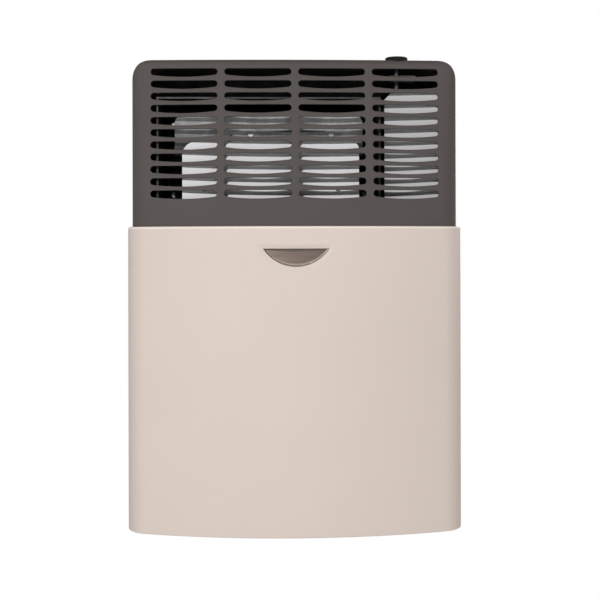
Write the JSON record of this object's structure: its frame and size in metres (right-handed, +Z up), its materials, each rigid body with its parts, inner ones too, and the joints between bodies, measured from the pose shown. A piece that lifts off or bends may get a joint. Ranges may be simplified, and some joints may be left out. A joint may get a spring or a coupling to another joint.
{
  "type": "wall mounted gas heater",
  "caption": "Balanced flue gas room heater for a wall: bowed cream front panel, dark leaning grille hood and a push and turn control knob",
  "frame": {"origin": "middle of the four wall fixing holes, on the back plate's back face, which lies on the wall", "axes": "+X to the right as seen from the room, +Y into the wall, +Z up; the front faces -Y"},
  "size_m": [0.4494, 0.252, 0.629],
  "materials": {
    "hood_paint": "warm dark grey baked paint, satin",
    "panel_paint": "pale cream baked paint, satin",
    "badge_nickel": "satin nickel plate, bare face",
    "spring_steel": "bright spring steel",
    "knob_plastic": "charcoal moulded phenolic, fine satin",
    "plated_steel": "zinc plated, slightly bright",
    "brass": "machined brass, dull",
    "galvanised_steel": "galvanised sheet, soft grey",
    "black_screws": "black lacquered heads",
    "white_paint": "white baked paint, satin",
    "gasket_fibre": "pressed mineral fibre",
    "aluminised_steel": "aluminised steel tube",
    "heat_glass": "clear heat resistant glass",
    "burner_steel": "stainless steel, heat dulled",
    "copper": "soft copper tube",
    "white_ceramic": "unglazed white ceramic",
    "cable_rubber": "pale silicone sleeve",
    "black_plastic": "black moulded plastic",
    "valve_alloy": "die cast, bead blasted"
  },
  "bodies": {
    "cabinet": {"grille_hood": "hood_paint", "front_panel": "panel_paint", "badge": "badge_nickel", "badge_clips": "spring_steel", "rod_guide": "galvanised_steel", "back_plate": "galvanised_steel", "hanging_hooks": "galvanised_steel", "panel_brackets": "galvanised_steel", "cabinet_screws": "black_screws", "convection_duct": "galvanised_steel", "radiant_shield": "white_paint", "shield_brackets": "galvanised_steel", "shield_hanger": "galvanised_steel", "shield_screws": "plated_steel", "valve_shield": "white_paint", "chamber_front": "aluminised_steel", "chamber_back": "aluminised_steel", "chamber_gasket": "gasket_fibre", "chamber_screws": "plated_steel", "chamber_brackets": "galvanised_steel", "air_box": "galvanised_steel", "intake_collar": "aluminised_steel", "exhaust_collar": "aluminised_steel", "burner_door": "galvanised_steel", "door_gasket": "gasket_fibre", "door_screws": "plated_steel", "sight_glass": "heat_glass", "sight_glass_frame": "plated_steel", "burner_tube": "burner_steel", "burner_brackets": "galvanised_steel", "injector": "brass", "burner_pipe": "copper", "pilot_burner": "brass", "pilot_tube": "copper", "thermocouple": "copper", "spark_electrode": "white_ceramic", "ignition_cable": "cable_rubber", "piezo_igniter": "black_plastic", "gas_valve": "valve_alloy", "safety_magnet": "brass", "gas_inlet": "brass", "valve_bracket": "galvanised_steel"},
    "spindle": {"valve_spindle": "brass", "return_spring": "spring_steel"},
    "knob": {"knob": "knob_plastic", "knob_rod": "plated_steel"}
  },
  "joints": [
    {"name": "knob_turn", "type": "hinge", "parent": "cabinet", "child": "spindle", "pos_m": [0.137, -0.13074, 0], "axis": [0, 0, 1], "range_deg": [0, 210]},
    {"name": "knob_push", "type": "slide", "parent": "spindle", "child": "knob", "axis": [0, 0, -1], "range_m": [0, 0.004], "stiffness_N_per_m": 1500, "springref_m": -0.003, "deforming": ["return_spring"]}
  ]
}
